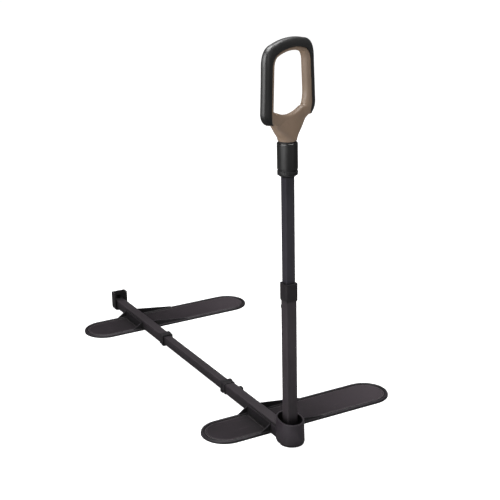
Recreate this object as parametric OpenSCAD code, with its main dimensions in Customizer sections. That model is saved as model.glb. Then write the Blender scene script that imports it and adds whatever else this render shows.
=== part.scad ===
// Couch standing aid: a telescoping bar with two long feet that lie under a couch,
// and a height-adjustable post with a swivelling loop handle at one end.
// X runs along the feet, Y along the bar away from the post, Z is up.
// The origin is on the floor, at the middle of the footprint.

/* [Tubes] */
// Outer width of the bar's square outer tubes
tube_w = 20.2; // [18:0.2:24]
// Wall of the bar's outer tubes
tube_wall = 1.3; // [1:0.1:1.6]
// Wall of the sliding inner tubes
inner_wall = 1.2; // [1:0.1:1.6]
// Gap between a sliding tube and the tube around it, on each side
slide_gap = 0.35; // [0.3:0.05:0.5]
// Corner radius of the outer tubes
tube_r = 1.6; // [1.4:0.1:3]

/* [Feet] */
// Length of one foot
foot_l = 398; // [320:2:460]
// Width of one foot
foot_w = 92; // [84:1:110]
// Height of the foot's rounded rim above its underside
rim_h = 5; // [4.4:0.2:8]
// Width of the rim
rim_w = 6; // [5:0.5:8]
// Thickness of the foot's plate
plate_t = 2; // [1.6:0.2:3]
// Thickness of the grip mats that lie on the plate
mat_t = 1.6; // [1:0.2:2.4]
// Gap between a mat and the rim
mat_gap = 2.2; // [1:0.2:4]
// Distance of the bar from the middle of the foot
bar_off = 71; // [50:1:95]
// Distance between the centre lines of the two feet
foot_pitch = 577; // [550:1:640]
// Height of the gusset walls at the bar
gusset_h = 18.5; // [15:0.5:22]
// Length of the short gusset
gusset_short = 22; // [18:1:50]
// Length of the long gusset
gusset_long = 88; // [60:1:110]
// Thickness of the gusset and saddle walls
rib_t = 2.6; // [2:0.2:4]
// Height of the saddle's side walls above the underside of the bar
saddle_h = 15.8; // [10:0.2:18]
// Height of the rubber pads below the foot's plate
pad_stand = 0.6; // [0.4:0.1:1.5]
// Depth of the pads' pockets in the plate
pad_sink = 0.8; // [0.5:0.1:1.2]
// Length of one rubber pad
pad_l = 46; // [30:1:60]
// Width of one rubber pad
pad_w = 16; // [10:1:24]

/* [Bar] */
// Height of the bar's underside above the floor
bar_lift = 4.2; // [3.6:0.2:9]
// Length of the near tube that stands out past the near foot's front edge
tube_out = 14; // [10:1:16]
// Open end of the near tube's collar, from the near foot's centre line
near_mouth = 154; // [140:1:170]
// Open end of the far tube's collar, from the near foot's centre line
far_mouth = 422; // [400:1:440]
// Length of the far tube that stands out behind the far foot's centre line
far_tail = 114; // [95:1:130]
// Depth of the centre tube in the near tube
near_overlap = 74; // [60:1:80]
// Depth of the centre tube in the far tube
far_overlap = 96; // [60:1:110]
// Distance of a clamp knob from the collar's mouth
knob_back = 31; // [26:1:45]
// Length of a bar collar
collar_l = 17; // [14:1:26]
// Length of a bar collar's wider lip
collar_lip_l = 6; // [4:0.5:9]
// Wall of a collar's sleeve around the outer tube
collar_wall = 1.4; // [1:0.1:2.2]
// Extra wall at a collar's lip
lip_extra = 0.9; // [0.4:0.1:1.6]
// Depth of a plug in a tube's end
plug_l = 14; // [10:1:20]

/* [Post] */
// Distance of the post from the near foot's front edge
post_gap = 47; // [46:1:58]
// Outer width of the lower post tube
post_w = 20.2; // [19:0.2:24]
// Wall of the lower post tube
post_wall = 1.3; // [1:0.1:2.4]
// Height of the socket's rim at the front
rim_front_h = 46; // [40:0.5:50]
// Height of the socket's rim at the back
rim_back_h = 51; // [46:0.5:56]
// Radius of the socket's round ends at the rim
socket_r = 22.2; // [20:0.2:24]
// Distance between the centres of the socket's round ends
socket_stretch = 12; // [12:1:20]
// Height of the socket's chamfered lower edge
socket_chamfer = 4; // [2:0.5:6]
// Extra radius near the foot of the socket
socket_flare = 0.8; // [0.4:0.1:2]
// Height of the socket's underside above the floor
socket_z = 3; // [2:0.2:4]
// Height of the socket's floor above its underside
socket_floor = 6; // [5:0.5:10]
// Top of the lower post tube above the floor
lower_post_top = 302; // [280:1:330]
// Length of the post collar
post_collar_l = 32; // [24:1:40]
// Extra width of the post collar at its top, all told
post_collar_flare = 3.4; // [2:0.2:5]
// Depth of the upper post tube in the lower one
post_overlap = 190; // [150:1:200]
// Top of the upper post tube above the floor
upper_post_top = 497; // [480:1:540]
// Depth of the clamp knob below the top of the post collar
post_knob_drop = 48; // [42:1:60]

/* [Swivel] */
// Outer diameter of the lock collar
lock_d = 33; // [30:0.5:38]
// Height of the lock collar
lock_h = 45; // [38:1:52]
// Height of the ridged ring under the lock collar
ring_h = 12; // [9:0.5:16]
// Wall of the lock collar
lock_wall = 3; // [2.4:0.1:4]
// Radius of the spigot that the handle turns on
spigot_r = 9; // [7:0.25:10]
// Running clearance between a pin and its bore, on the radius
run_fit = 0.05; // [0.02:0.01:0.1]
// Gap between parts that move past each other
move_gap = 0.4; // [0.3:0.05:0.8]

/* [Handle] */
// Angle of the handle's plane from the feet
handle_turn = 26; // [0:1:90]
// Half width of the handle's parting line at its top
loop_top = 57; // [45:0.5:65]
// Half width of the handle's parting line at its bottom
loop_bottom = 61; // [48:0.5:68]
// Height of the parting line from its bottom to its top
loop_h = 122.5; // [110:0.5:140]
// Sideways place of the loop's middle from the post
loop_shift = 4.5; // [0:0.5:8]
// Corner radius of the parting line at the top
loop_top_r = 24; // [20:1:32]
// Radius of the loop's arched top
loop_arch_r = 140; // [120:5:240]
// Corner radius of the parting line at the bottom
loop_bottom_r = 24; // [20:1:28]
// Thickness of the inner frame, from the parting line inwards
frame_in = 10.5; // [8:0.5:13]
// Thickness of the inner frame at the top of the loop
frame_top = 6.5; // [5:0.5:12]
// Thickness of the inner frame over the neck
frame_low = 21; // [16:0.5:23]
// Depth of the dip in the middle of the frame over the neck
frame_dip = 8; // [4:0.5:10]
// Depth of the inner frame
frame_d = 15.5; // [13:0.5:20]
// Thickness of the grip, from the parting line outwards
grip_out = 15; // [11:0.5:18]
// Depth of the grip
grip_d = 17.5; // [15:0.5:24]
// Height of the neck from the lock collar to the parting line's bottom
neck_h = 33; // [28:1:40]
// Angle by which the grip runs round the bottom corners
grip_wrap = 50; // [30:10:60]

/* [Hardware] */
// Diameter of a clamp knob's head
knob_d = 12; // [10:0.5:16]
// Length of a clamp knob's head
knob_l = 7; // [5:0.5:10]
// Radius of a clamp knob's screw
knob_screw_r = 2.5; // [2:0.1:3]
// Radius of the threaded boss under a knob
boss_r = 5.5; // [4.5:0.1:7]
// Length of the threaded boss
boss_l = 4; // [3:0.25:6]
// Shank radius of the assembly screws
screw_r = 2; // [1.5:0.1:2.5]
// Head radius of the assembly screws
screw_head_r = 3.8; // [3:0.1:4.5]
// Head height of the assembly screws
screw_head_h = 1.8; // [1:0.1:2.2]

/* [End stop] */
// Width of the end stop
stop_w = 32; // [28:0.5:40]
// Depth of the end stop
stop_d = 17; // [12:0.5:24]
// Top of the end stop above the floor
stop_top = 43; // [40:0.5:56]
// Underside of the end stop above the floor
stop_bottom = 0.8; // [0.6:0.1:4]
// Wall of the end stop
stop_wall = 3.2; // [2.4:0.1:4]
// Radius of the end stop's lower corners
stop_r = 7; // [4:0.5:9]
// Height of the end stop's upper screw above the bar
stop_screw_up = 6; // [5:0.25:8]

/* [Hidden] */
$fn = 40;

// One overrun serves all cuts
over = 1;
// Sliding tubes and the bores around them
inner_w = tube_w - 2 * tube_wall - 2 * slide_gap;
bore_r_share = 0.6;
inner_r = tube_r * bore_r_share;
inner_bore_w = inner_w - 2 * inner_wall;
lip_bore_w = inner_w + 2 * slide_gap;
collar_w = tube_w + 2 * collar_wall;
lip_w = collar_w + 2 * lip_extra;

upper_w = post_w - 2 * post_wall - 2 * slide_gap;
upper_bore_w = upper_w - 2 * inner_wall;

// Places in front of the near foot, from its centre line
near_tube_front = foot_w / 2 + tube_out;
post_off = foot_w / 2 + post_gap;

// Heights in the base, from the floor up
plate_z = pad_stand;
plate_top = plate_z + plate_t;
bar_z = bar_lift + tube_w / 2;
bar_top = bar_lift + tube_w;
saddle_w = tube_w + 2 * rib_t;
post_z = socket_z + socket_floor;

// Half of a rounded section of the handle, as points [outwards, across the depth],
// from one flat side round to the other
half_steps = 12;
bulge_share = 0.62;
function soft(c) = sign(c) * pow(abs(c), bulge_share);
function half_section(out, depth) = [
    for (k = [0 : half_steps]) let (a = -90 + 180 * k / half_steps)
        [out * soft(cos(a)), depth / 2 * soft(sin(a))]
];

// Places along the bar, from the near foot's centre line:
// the turned handle may stand out past the socket
handle_reach = max([
    for (p = half_section(grip_out, grip_d))
        (loop_bottom - loop_shift + p[0]) * sin(handle_turn) + p[1] * cos(handle_turn)
]);
front_y = post_off + max(socket_stretch / 2 + socket_r + socket_flare, handle_reach);
far_tube_end = foot_pitch + far_tail;
stop_back = far_tube_end + stop_wall;
bar_x = -bar_off;
mid_y = (stop_back - front_y) / 2;

// Heights in the post and the handle
lower_post_l = lower_post_top - post_z;
upper_post_z = lower_post_top - post_overlap;
mouth_t = 3;
post_collar_top = lower_post_top + mouth_t;
ring_z = upper_post_top - mouth_t;
lock_z = ring_z + ring_h + move_gap;
lock_top = lock_z + lock_h;
neck_z = lock_top + move_gap;
loop_z = neck_z + neck_h;
lock_r = lock_d / 2;
stem_r = lock_r - lock_wall - move_gap;
bush_t = 1.5;
spigot_z = ring_z + ring_h;
stem_z = spigot_z + bush_t;

// Colours of the finishes
black_paint = [0.13, 0.12, 0.13];
black_plastic = [0.10, 0.10, 0.11];
mat_brown = [0.19, 0.17, 0.18];
rubber_black = [0.07, 0.07, 0.07];
taupe = [0.56, 0.50, 0.44];
steel = [0.62, 0.62, 0.64];

// Moves a piece from the bar's own coordinates to the part's origin
module on_bar() { translate([bar_x, -mid_y, 0]) children(); }
module on_foot(y) { translate([0, y - mid_y, 0]) children(); }
module on_post() { translate([bar_x, -post_off - mid_y, 0]) children(); }
module on_handle() { on_post() rotate([0, 0, handle_turn]) children(); }

// Square with round corners, and a slot shape with round ends
module round_square(w, h, r) {
    square([w - 2 * r, h], center = true);
    square([w, h - 2 * r], center = true);
    for (sx = [-1, 1], sy = [-1, 1])
        translate([sx * (w / 2 - r), sy * (h / 2 - r)]) circle(r);
}
module stadium(l, w) {
    square([l - w, w], center = true);
    for (s = [-1, 1]) translate([s * (l - w) / 2, 0]) circle(d = w);
}

// Square tube that stands on the XY plane
module square_tube(w, wall, l, r) {
    linear_extrude(l) difference() {
        round_square(w, w, r);
        round_square(w - 2 * wall, w - 2 * wall, r * bore_r_share);
    }
}
// Plastic plug that fills a square bore, standing on the XY plane
module plug(w, l) { linear_extrude(l) round_square(w, w, tube_r); }
// Turns a piece that stands on the XY plane to lie along the bar from place y
module along_bar(y, z) { translate([0, y, z]) rotate([-90, 0, 0]) children(); }

// Rounded bead of the rim, and the rim itself around a stadium
module rim_profile() {
    intersection() {
        square([rim_w, rim_h]);
        union() {
            square([rim_w, rim_h - rim_w / 2]);
            translate([rim_w / 2, rim_h - rim_w / 2]) circle(rim_w / 2);
        }
    }
}
module rim(l, w) {
    for (s = [-1, 1]) {
        translate([s * (l - w) / 2, 0, 0])
            rotate([0, 0, -s * 90])
                rotate_extrude(angle = 180) translate([w / 2 - rim_w, 0]) rim_profile();
        translate([-(l - w) / 2, s * (w / 2 - rim_w / 2), 0])
            rotate([90, 0, 90]) linear_extrude(l - w) translate([-rim_w / 2, 0]) rim_profile();
    }
}

// Triangular wall on a foot's long edge: it climbs to the bar from both sides and ends
// on the long side in a blunt step
gusset_step_share = 0.2;
module gusset() {
    step = rim_h * (1 + gusset_step_share) - plate_t;
    top = gusset_h - plate_z;
    rotate([90, 0, 0]) linear_extrude(rib_t, center = true) {
        polygon([
            [-saddle_w / 2 - gusset_short, plate_t], [-saddle_w / 2 - gusset_short, rim_h - rib_t / 2],
            [-saddle_w / 2, top], [0, top], [0, plate_t]
        ]);
        polygon([
            [0, plate_t], [0, top], [saddle_w / 2, top],
            [saddle_w / 2 + gusset_long, plate_t + step], [saddle_w / 2 + gusset_long, plate_t]
        ]);
    }
}

// Places of the three rubber pads under a foot, and of its two screws
pad_shares = [-0.36, 0.02, 0.36];
foot_screw_y = foot_w / 4;

// Moulded foot: thin plate, rounded rim, gusset walls and the saddle that holds the bar
module foot_tray() {
    edge = foot_w / 2 - rim_w / 2;
    difference() {
        union() {
            translate([0, 0, plate_z]) {
                linear_extrude(plate_t) stadium(foot_l - rim_w, foot_w - rim_w);
                rim(foot_l, foot_w);
                for (s = [-1, 1]) translate([bar_x, s * edge, 0]) gusset();
            }
            translate([bar_x - saddle_w / 2, -edge, plate_z])
                cube([saddle_w, 2 * edge, bar_lift + saddle_h - plate_z]);
        }
        translate([bar_x - tube_w / 2, -foot_w / 2 - over, bar_lift])
            cube([tube_w, foot_w + 2 * over, saddle_h + over]);
        for (s = pad_shares)
            translate([s * foot_l, 0, plate_z - over])
                linear_extrude(pad_sink + over) stadium(pad_l, pad_w);
        for (s = [-1, 1]) translate([bar_x, s * foot_screw_y, 0]) {
            cylinder(r = screw_r + run_fit, h = bar_lift + over);
            translate([0, 0, -over]) cylinder(r = screw_head_r + slide_gap, h = screw_seat_z + over);
        }
    }
}
// Seat of the screws' heads under the bar
screw_seat_t = 1.6;
screw_seat_z = bar_lift - screw_seat_t;

// Two ribbed mats that lie on a foot's plate, one on each side of the saddle
mat_r = 4;
module grip_mats() {
    inset = rim_w + mat_gap;
    left_x = bar_x - saddle_w / 2 - mat_gap;
    right_x = bar_x + saddle_w / 2 + mat_gap;
    translate([0, 0, plate_top]) linear_extrude(mat_t) {
        for (side = [-1, 1])
            intersection() {
                stadium(foot_l - 2 * inset, foot_w - 2 * inset);
                if (side < 0)
                    translate([left_x - foot_l / 2, 0]) round_square(foot_l, foot_w - 2 * inset, mat_r);
                else
                    translate([right_x + foot_l / 2, 0]) round_square(foot_l, foot_w - 2 * inset, mat_r);
            }
    }
}
module sole_pads() {
    for (s = pad_shares)
        translate([s * foot_l, 0, 0]) linear_extrude(pad_stand + pad_sink) stadium(pad_l, pad_w);
}

// Pan-head screw that points up from its head's seat, flush with the inside of the tube's wall
module screw_up(seat, tip) {
    translate([0, 0, seat - screw_head_h]) cylinder(r = screw_head_r, h = screw_head_h);
    translate([0, 0, seat]) cylinder(r = screw_r, h = tip - seat);
}
screw_tip = bar_lift + tube_wall;
module foot_screws() {
    for (s = [-1, 1]) translate([bar_x, s * foot_screw_y, 0]) screw_up(screw_seat_z, screw_tip);
}

module near_foot_tray() { color(black_plastic) on_foot(0) foot_tray(); }
module near_grip_mats() { color(mat_brown) on_foot(0) grip_mats(); }
module near_sole_pads() { color(rubber_black) on_foot(0) sole_pads(); }
module near_foot_screws() { color(steel) on_foot(0) foot_screws(); }
module far_foot_tray() { color(black_plastic) on_foot(foot_pitch) foot_tray(); }
module far_grip_mats() { color(mat_brown) on_foot(foot_pitch) grip_mats(); }
module far_sole_pads() { color(rubber_black) on_foot(foot_pitch) sole_pads(); }
module far_foot_screws() { color(steel) on_foot(foot_pitch) foot_screws(); }

// Holes through a lying tube's lower wall for the screws, and through its side for a knob
module wall_holes(places) {
    for (y = places)
        translate([0, y, bar_lift - over]) cylinder(r = screw_r + run_fit, h = tube_wall + 2 * over);
}
module side_hole(y) {
    translate([tube_w / 2 - tube_wall - over, y, bar_z])
        rotate([0, 90, 0]) cylinder(r = knob_screw_r + run_fit, h = tube_wall + 2 * over);
}
near_knob_y = near_mouth - knob_back;
far_knob_y = far_mouth + knob_back;
// Screws of the socket's tongue, from the near foot's centre line
tongue_screw_y = -(near_tube_front + foot_w / 2) / 2;

module near_tube() {
    color(black_paint) on_bar() difference() {
        along_bar(-near_tube_front, bar_z)
            square_tube(tube_w, tube_wall, near_tube_front + near_mouth - mouth_t, tube_r);
        wall_holes([-foot_screw_y, foot_screw_y, tongue_screw_y]);
        side_hole(near_knob_y);
    }
}
module far_tube() {
    color(black_paint) on_bar() difference() {
        along_bar(far_mouth + mouth_t, bar_z)
            square_tube(tube_w, tube_wall, far_tube_end - far_mouth - mouth_t, tube_r);
        wall_holes([foot_pitch - foot_screw_y, foot_pitch + foot_screw_y, stop_screw_y]);
        side_hole(far_knob_y);
    }
}
module center_tube() {
    color(black_paint) on_bar()
        along_bar(near_mouth - near_overlap, bar_z)
            square_tube(inner_w, inner_wall, far_mouth - near_mouth + near_overlap + far_overlap, inner_r);
}
// Plastic plugs pushed into the two ends of the centre tube
module center_end_plugs() {
    l = far_mouth - near_mouth + near_overlap + far_overlap;
    color(black_plastic) on_bar()
        for (end = [0, 1])
            along_bar(near_mouth - near_overlap + end * (l - plug_l), bar_z)
                plug(inner_bore_w, plug_l);
}

// Plastic collar on the mouth of an outer tube, which guides the sliding tube:
// it stands on the XY plane with its mouth up
module collar() {
    difference() {
        union() {
            linear_extrude(collar_l) round_square(collar_w, collar_w, tube_r + collar_wall);
            translate([0, 0, collar_l - collar_lip_l])
                linear_extrude(collar_lip_l) round_square(lip_w, lip_w, tube_r + collar_wall);
        }
        translate([0, 0, -over]) {
            linear_extrude(collar_l - mouth_t + over) round_square(tube_w, tube_w, tube_r);
            linear_extrude(collar_l + 2 * over) round_square(lip_bore_w, lip_bore_w, inner_r);
        }
    }
}
module near_collar() { color(black_plastic) on_bar() along_bar(near_mouth - collar_l, bar_z) collar(); }
module far_collar() {
    color(black_plastic) on_bar() translate([0, far_mouth + collar_l, bar_z]) rotate([90, 0, 0]) collar();
}

// Threaded boss on a tube's side, and the clamp knob in it: both stand on the tube's face at z = 0.
// The knob's screw stops short of the sliding tube.
knob_grooves = 8;
groove_share = 0.08;
groove_r = knob_d * groove_share;
module boss() {
    difference() {
        cylinder(r = boss_r, h = boss_l);
        translate([0, 0, -over]) cylinder(r = knob_screw_r + run_fit, h = boss_l + 2 * over);
    }
}
knob_dome_share = 0.45;
module knob() {
    head_z = boss_l + move_gap;
    dome = knob_l * knob_dome_share;
    translate([0, 0, -tube_wall]) cylinder(r = knob_screw_r, h = head_z + tube_wall + knob_l / 2);
    difference() {
        translate([0, 0, head_z]) union() {
            cylinder(d = knob_d, h = knob_l - dome);
            translate([0, 0, knob_l - dome]) cylinder(d1 = knob_d, d2 = knob_d - 2 * dome, h = dome);
        }
        for (k = [0 : knob_grooves - 1])
            rotate([0, 0, k * 360 / knob_grooves]) translate([knob_d / 2, 0, head_z - over])
                cylinder(r = groove_r, h = knob_l + 2 * over);
    }
}
module on_side(y) { on_bar() translate([tube_w / 2, y, bar_z]) rotate([0, 90, 0]) children(); }
module near_boss() { color(black_paint) on_side(near_knob_y) boss(); }
module near_knob() { color(black_plastic) on_side(near_knob_y) knob(); }
module far_boss() { color(black_paint) on_side(far_knob_y) boss(); }
module far_knob() { color(black_plastic) on_side(far_knob_y) knob(); }

// Oval cup that takes the post, with a rim that climbs towards the bar and a hollow round the post,
// and behind it a tongue that cradles the near tube's end
socket_slant = atan2(rim_back_h - rim_front_h, socket_stretch + 2 * socket_r);
module cup() {
    wide_r = socket_r + socket_flare;
    h = rim_back_h - socket_z;
    for (s = [-1, 1]) translate([0, s * socket_stretch / 2, 0]) {
        cylinder(r1 = socket_r - socket_flare, r2 = wide_r, h = socket_chamfer);
        translate([0, 0, socket_chamfer]) cylinder(r1 = wide_r, r2 = socket_r, h = h - socket_chamfer);
    }
    rotate([90, 0, 0]) linear_extrude(socket_stretch, center = true) polygon([
        [socket_flare - socket_r, 0], [socket_r - socket_flare, 0], [wide_r, socket_chamfer],
        [socket_r, h], [-socket_r, h], [-wide_r, socket_chamfer]
    ]);
}
module pole_socket() {
    tongue_l = post_gap - post_w / 2 - rib_t;
    hollow_r = socket_r - rib_t;
    color(black_plastic) on_bar() difference() {
        union() {
            translate([0, -post_off, socket_z]) cup();
            translate([-saddle_w / 2, -foot_w / 2 - tongue_l, plate_z])
                cube([saddle_w, tongue_l, bar_lift + saddle_h - plate_z]);
        }
        translate([0, -post_off, (rim_front_h + rim_back_h) / 2]) rotate([socket_slant, 0, 0])
            translate([-2 * socket_r, -2 * socket_r, 0]) cube([4 * socket_r, 4 * socket_r, socket_r]);
        translate([0, -post_off, bar_top]) linear_extrude(rim_back_h)
            rotate([0, 0, 90]) stadium(socket_stretch + 2 * hollow_r, 2 * hollow_r);
        translate([-tube_w / 2, -near_tube_front, bar_lift])
            cube([tube_w, near_tube_front, tube_w]);
        translate([0, -post_off, post_z]) linear_extrude(rim_back_h) round_square(post_w, post_w, tube_r);
        translate([0, -post_off, -over]) {
            cylinder(r = screw_r + run_fit, h = post_z + 2 * over);
            cylinder(r = screw_head_r + slide_gap, h = bolt_seat_z + over);
            linear_extrude(socket_z + pad_sink + over) pad_ring();
        }
        translate([0, tongue_screw_y, -over]) {
            cylinder(r = screw_r + run_fit, h = bar_lift + 2 * over);
            cylinder(r = screw_head_r + slide_gap, h = screw_seat_z + over);
        }
    }
}
// Rubber ring under the socket
module pad_ring() {
    difference() {
        circle(r = socket_r - rib_t);
        circle(r = screw_head_r + rib_t);
    }
}
module socket_pad() { color(rubber_black) on_post() linear_extrude(socket_z + pad_sink) pad_ring(); }
module tongue_screw() {
    color(steel) on_bar() translate([0, tongue_screw_y, 0]) screw_up(screw_seat_z, screw_tip);
}
bolt_seat_z = socket_z + pad_sink + screw_head_h;
// Plug in the post's foot, and the bolt that draws the post down into the socket
module pole_plug() {
    color(black_plastic) on_post() difference() {
        translate([0, 0, post_z]) plug(post_w - 2 * post_wall, plug_l);
        translate([0, 0, post_z - over]) cylinder(r = screw_r + run_fit, h = plug_l + 2 * over);
    }
}
module pole_bolt() {
    color(steel) on_post() screw_up(bolt_seat_z, post_z + plug_l);
}
module lower_pole() {
    color(black_paint) on_post() difference() {
        translate([0, 0, post_z]) square_tube(post_w, post_wall, lower_post_l, tube_r);
        translate([0, post_w / 2 - post_wall - over, post_knob_z]) rotate([-90, 0, 0])
            cylinder(r = knob_screw_r + run_fit, h = post_wall + 2 * over);
    }
}
post_knob_z = post_collar_top - post_knob_drop;
module pole_boss() {
    color(black_paint) on_post() translate([0, post_w / 2, post_knob_z]) rotate([-90, 0, 0]) boss();
}
module pole_knob() {
    color(black_plastic) on_post() translate([0, post_w / 2, post_knob_z]) rotate([-90, 0, 0]) knob();
}
// Tapered collar on the mouth of the lower post tube
module pole_collar() {
    top_w = post_w + post_collar_flare;
    low_w = post_w + collar_wall;
    mouth_w = upper_w + 2 * slide_gap;
    head_z = post_collar_l / 2;
    profile = [
        [-low_w / 2, 0], [low_w / 2, 0], [top_w / 2, head_z], [top_w / 2, post_collar_l],
        [-top_w / 2, post_collar_l], [-top_w / 2, head_z]
    ];
    color(black_plastic) on_post() translate([0, 0, post_collar_top - post_collar_l]) difference() {
        intersection() {
            linear_extrude(post_collar_l) round_square(top_w, top_w, tube_r + collar_wall);
            rotate([90, 0, 0]) linear_extrude(top_w, center = true) polygon(profile);
            rotate([90, 0, 90]) linear_extrude(top_w, center = true) polygon(profile);
        }
        translate([0, 0, -over])
            linear_extrude(post_collar_l - mouth_t + over) round_square(post_w, post_w, tube_r);
        translate([0, 0, -over])
            linear_extrude(post_collar_l + 2 * over) round_square(mouth_w, mouth_w, inner_r);
    }
}
module upper_pole() {
    color(black_paint) on_post() translate([0, 0, upper_post_z])
        square_tube(upper_w, inner_wall, upper_post_top - upper_post_z, inner_r);
}
// Glide plug in the bottom of the upper post tube
module upper_pole_glide() {
    color(black_plastic) on_post() translate([0, 0, upper_post_z]) plug(upper_bore_w, plug_l);
}

// Hub in the top of the post: square plug below, round flange, and the spigot that the handle turns on
hub_flange_t = 4;
module swivel_hub() {
    color(steel) on_post() {
        translate([0, 0, upper_post_top - 2 * plug_l]) plug(upper_bore_w, 2 * plug_l);
        translate([0, 0, upper_post_top]) cylinder(r = stem_r - move_gap, h = hub_flange_t);
        translate([0, 0, upper_post_top]) cylinder(r = spigot_r, h = lock_top - upper_post_top);
    }
}
// Thrust washer between the ring and the handle's stem
module swivel_bush() {
    color(black_plastic) on_post() translate([0, 0, spigot_z]) difference() {
        cylinder(r = stem_r, h = bush_t - slide_gap);
        translate([0, 0, -over]) cylinder(r = spigot_r + run_fit, h = bush_t + 2 * over);
    }
}
// Ridged ring that caps the post's top, with a chamfered lower edge
ring_ridges = 24;
ring_chamfer = ring_h / 4;
ridge_r = ring_h / 16;
module collar_ring() {
    body_z = ring_z + ring_chamfer;
    color(black_plastic) on_post() difference() {
        union() {
            translate([0, 0, ring_z]) cylinder(r1 = lock_r - ring_chamfer, r2 = lock_r, h = ring_chamfer);
            translate([0, 0, body_z]) cylinder(r = lock_r, h = ring_h - ring_chamfer);
        }
        for (k = [0 : ring_ridges - 1])
            rotate([0, 0, k * 360 / ring_ridges]) translate([lock_r, 0, body_z + ring_chamfer / 2])
                cylinder(r = ridge_r, h = ring_h - 2 * ring_chamfer);
        translate([0, 0, ring_z - over])
            linear_extrude(mouth_t + over) round_square(upper_w, upper_w, inner_r);
        translate([0, 0, upper_post_top]) cylinder(r = stem_r - move_gap, h = hub_flange_t);
        translate([0, 0, upper_post_top]) cylinder(r = spigot_r, h = ring_h + over);
    }
}
// Turning sleeve that clamps the handle's stem
lock_lip = 2;
module lock_collar() {
    color(black_plastic) on_post() difference() {
        union() {
            translate([0, 0, lock_z]) cylinder(r = lock_r, h = lock_h - lock_lip);
            translate([0, 0, lock_top - lock_lip])
                cylinder(r1 = lock_r, r2 = lock_r - lock_lip / 2, h = lock_lip);
        }
        translate([0, 0, lock_z - over]) cylinder(r = lock_r - lock_wall, h = lock_h + 2 * over);
        translate([0, 0, lock_top - lock_lip])
            cylinder(r1 = lock_r - lock_wall, r2 = lock_r - lock_lip, h = lock_lip + over);
    }
}
// Stem of the handle: a sleeve on the spigot, with a core that reaches up into the neck
core_l = neck_h / 2;
core_share = 0.75;
core_r = spigot_r * core_share;
module handle_stem() {
    color(steel) on_handle() {
        difference() {
            translate([0, 0, stem_z]) cylinder(r = stem_r, h = neck_z - stem_z);
            translate([0, 0, stem_z - over])
                cylinder(r = spigot_r + run_fit, h = lock_top + slide_gap - stem_z + over);
        }
        translate([0, 0, neck_z]) cylinder(r = core_r, h = core_l);
    }
}

// Parting line of the loop, as stations [place across, height, angle of the outward normal]:
// the top is an arch that runs into a round corner on each side
arc_step = 10;
corner_steps = 8;
function corner(x, z, r, from, to) = [
    for (a = [from : arc_step : to]) [loop_shift + x + r * cos(a), z + r * sin(a), a]
];
function arch(x, z, r, from, to) = [
    for (k = [0 : corner_steps]) let (a = from + (to - from) * k / corner_steps)
        [loop_shift + x + r * cos(a), z + r * sin(a), a]
];
arch_half = asin((loop_top - loop_top_r) / (loop_arch_r - loop_top_r));
arch_z = loop_z + loop_h - loop_arch_r;
top_corner_x = loop_top - loop_top_r;
top_corner_z = arch_z + (loop_arch_r - loop_top_r) * cos(arch_half);
over_top = concat(
    arch(top_corner_x, top_corner_z, loop_top_r, 0, 90 - arch_half),
    arch(0, arch_z, loop_arch_r, 90 - arch_half, 90 + arch_half),
    arch(-top_corner_x, top_corner_z, loop_top_r, 90 + arch_half, 180));
function lower_corner(side, from, to) = corner(
    side * (loop_bottom - loop_bottom_r), loop_z + loop_bottom_r, loop_bottom_r, from, to);
bottom_half = loop_bottom - loop_bottom_r;
bottom_run = [
    for (k = [1 : corner_steps - 1]) [loop_shift + bottom_half * (2 * k / corner_steps - 1), loop_z, 270]
];
loop_line = concat(over_top, lower_corner(-1, 180, 270), bottom_run, lower_corner(1, 270, 360));
grip_line = concat(lower_corner(1, -grip_wrap, 0), over_top, lower_corner(-1, 180, 180 + grip_wrap));

// Sweep of one half section along a line of stations, closed into a ring or capped at both ends.
// Each station's section is scaled by its entry in sizes: [outwards, across the depth].
function swept_points(line, section, sizes) = [
    for (i = [0 : len(line) - 1]) for (p = section)
        let (q = [p[0] * sizes[i][0], p[1] * sizes[i][1]])
        [line[i][0] + q[0] * cos(line[i][2]), -q[1], line[i][1] + q[0] * sin(line[i][2])]
];
function swept_faces(n, m, ring) = concat(
    [for (i = [0 : n - (ring ? 1 : 2)]) for (j = [0 : m - 1])
        let (a = i * m + j, b = i * m + (j + 1) % m, c = ((i + 1) % n) * m)
            [a, c + j, c + (j + 1) % m, b]],
    ring ? [] : [[for (j = [0 : m - 1]) j], [for (j = [m - 1 : -1 : 0]) (n - 1) * m + j]]
);
module sweep(line, section, sizes, ring) {
    polyhedron(swept_points(line, section, sizes), swept_faces(len(line), len(section), ring), convexity = 6);
}

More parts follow.
